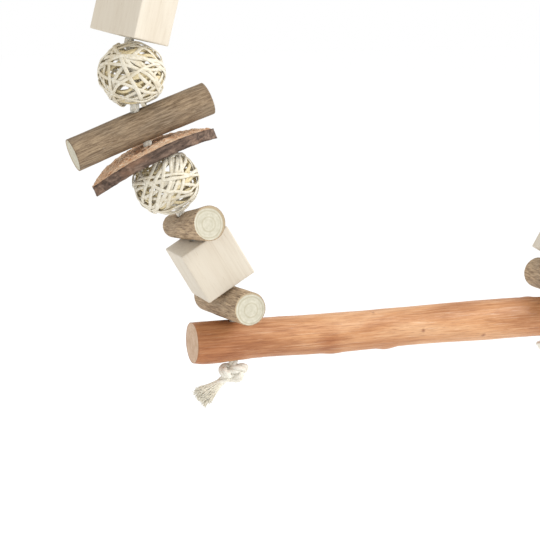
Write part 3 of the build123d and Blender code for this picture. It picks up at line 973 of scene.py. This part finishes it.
def add_rope(vertices, faces, points, phase=0.0, size=1.0):
    """Three twisted strands laid round a smooth line through control points."""
    line, reach = smooth_line(points)
    _, sides, others = frames_along(line)
    for strand in range(3):
        angles = phase + 2 * pi * (strand / 3 + reach / TWIST_PITCH)
        offset = STRAND_OFFSET * size
        path = line + offset * (
            sides * np.cos(angles)[:, None] + others * np.sin(angles)[:, None]
        )
        radii = np.full(len(path), STRAND_RADIUS * size)
        add_tube(vertices, faces, path, radii, around=12, ribs=0.05, seed=strand)


def make_rope(material):
    vertices, faces = [], []
    add_rope(vertices, faces, rope_points())
    mesh = mesh_from("rope", vertices, faces, [material])
    return new_piece("rope_twist", mesh, "arch", ["rope"])


def tassel_direction(side):
    """Unit vector down the tassel, leaning outward."""
    return Vector((side * sin(TASSEL_LEAN), 0, -cos(TASSEL_LEAN)))


def make_knot(hand, material):
    """Overhand knot tied in the same rope, pulled tight under the perch."""
    side = SIDES[hand]
    centre = box_centre(f"{hand}_knot")
    wide, deep, tall = KNOT_SIZE
    points = []
    for step in range(KNOT_STEPS + 1):
        t = 2 * pi * (step / KNOT_STEPS) * 0.94 + 0.25
        points.append(centre + Vector((
            side * wide * (sin(t) + 2 * sin(2 * t)),
            deep * -sin(3 * t),
            tall * (cos(t) - 2 * cos(2 * t)),
        )))
    vertices, faces = [], []
    add_rope(vertices, faces, points, phase=1.0, size=0.98)
    down = tassel_direction(side)
    root = centre + down * TASSEL_ROOT
    way_out = [centre, (centre + root) / 2, root + down * 2.5 * MM]
    add_rope(vertices, faces, way_out, phase=0.4, size=0.95)
    mesh = mesh_from(f"{hand}_knot", vertices, faces, [material])
    return new_piece(f"{hand}_knot_rope", mesh, "arch", [f"{hand}_knot"])


def make_tassel(hand, material):
    """Frayed end: many fine fibres that spread and curl from the knot."""
    node = f"{hand}_tassel"
    side = SIDES[hand]
    direction = tassel_direction(side)
    start = box_centre(f"{hand}_knot") + direction * (TASSEL_ROOT - 3.0 * MM)
    length = TASSEL_LENGTH + 1.5 * MM
    across = Vector((0, 1, 0))
    other = direction.cross(across)
    draw = random.Random(17 if side < 0 else 29)
    vertices, faces = [], []
    for _ in range(FIBRES):
        angle, reach = draw.uniform(0, 2 * pi), draw.random() ** 0.55
        spread = FIBRE_SPREAD * reach
        share = draw.uniform(0.70, 1.0)
        curl = draw.uniform(-1.5, 1.5) * MM
        phase = draw.uniform(0, 2 * pi)
        line = []
        for step in range(FIBRE_STEPS + 1):
            t = step / FIBRE_STEPS
            width = 2.2 * MM * reach * (1 - t) + spread * t**1.25
            wave = curl * sin(2.5 * pi * t + phase) * t
            spot = start + direction * (length * share * t)
            spot = spot + (across * cos(angle) + other * sin(angle)) * width
            spot = spot + across * wave + other * (wave * cos(phase))
            line.append(np.array(spot))
        thick = draw.uniform(*FIBRE_RADII) * MM
        radii = [thick * (1 - 0.4 * step / FIBRE_STEPS) for step in range(FIBRE_STEPS + 1)]
        add_tube(vertices, faces, np.array(line), radii, around=4)
    mesh = mesh_from(node, vertices, faces, [material])
    return new_piece(f"{hand}_tassel_fibres", mesh, "arch", [node])


# Build -----------------------------------------------------------------------

cream = cord_material("cream_cord", (1.12, 1.07, 0.94))
frayed = cord_material("frayed_cord", (1.15, 1.08, 0.90))
steel = metal_material("plated_steel", (0.50, 0.50, 0.52), 0.24)
core = metal_material("core_steel", (0.38, 0.38, 0.38), 0.4)

seed = 1
for hand in SIDES:
    for name in THREADED:
        node = f"{hand}_{name}"
        if "log" in name or "rod" in name:
            make_log(node, seed)
        elif "block" in name:
            make_block(node, seed)
        elif "ball" in name:
            make_ball(node, seed)
        else:
            make_shell(node, seed)
        seed += 1
make_perch()
make_rope(cream)
for hand in SIDES:
    make_knot(hand, cream)
    make_tassel(hand, frayed)

for node, material in (
    ("carabiner", steel), ("gate", steel), ("gate_pin", steel), ("ring", steel), ("wire_core", core)
):
    NODES[node].data.materials.clear()
    NODES[node].data.materials.append(material)

# Stage -----------------------------------------------------------------------


def matt(name, colour):
    shader = Shader(name, 1.0)
    shader.bsdf.inputs["Base Color"].default_value = (*colour, 1)
    shader.bsdf.inputs["Specular IOR Level"].default_value = 0.0
    return shader.material


floor_mesh = mesh_from(
    "floor",
    [(-8, -8, 0), (8, -8, 0), (8, 8, 0), (-8, 8, 0)],
    [(0, 1, 2, 3)],
    [matt("floor_white", (1.0, 1.0, 1.0))],
    smooth=False,
)
floor = bpy.data.objects.new("floor", floor_mesh)
bpy.context.scene.collection.objects.link(floor)
floor.location.z = CAD_BOX[0].z - 0.25

world = bpy.data.worlds.new("studio")
bpy.context.scene.world = world
world.use_nodes = True
world.node_tree.nodes["Background"].inputs["Color"].default_value = (1, 1, 1, 1)
world.node_tree.nodes["Background"].inputs["Strength"].default_value = 1.0
bpy.context.scene.view_settings.view_transform = "Standard"


def area_light(name, place, aim, size, power):
    light = bpy.data.lights.new(name, "AREA")
    light.energy = power
    light.size = size
    lamp = bpy.data.objects.new(name, light)
    bpy.context.scene.collection.objects.link(lamp)
    lamp.location = place
    lamp.rotation_euler = (Vector(aim) - Vector(place)).to_track_quat("-Z", "Y").to_euler()


middle = (CAD_BOX[0] + CAD_BOX[1]) / 2
area_light("key", (1.15, -0.85, 0.8), middle, 0.9, 22)
area_light("fill", (-1.0, -0.7, 0.5), middle, 1.2, 1.0)

# Camera: from the front left, a little above.
AZIMUTH, ELEVATION = radians(-20.0), radians(10.0)
DISTANCE = 1.1
back = Vector((
    sin(AZIMUTH) * cos(ELEVATION), -cos(AZIMUTH) * cos(ELEVATION), sin(ELEVATION)
))
AIM = Vector((-0.0859, 0.0, box_centre("perch").z + 0.0419))
camera_data = bpy.data.cameras.new("camera")
camera_data.lens = 120.0
camera_data.sensor_width = 36.0
camera = bpy.data.objects.new("camera", camera_data)
bpy.context.scene.collection.objects.link(camera)
camera.location = AIM + back * DISTANCE
camera.rotation_euler = back.to_track_quat("Z", "Y").to_euler()
bpy.context.scene.camera = camera
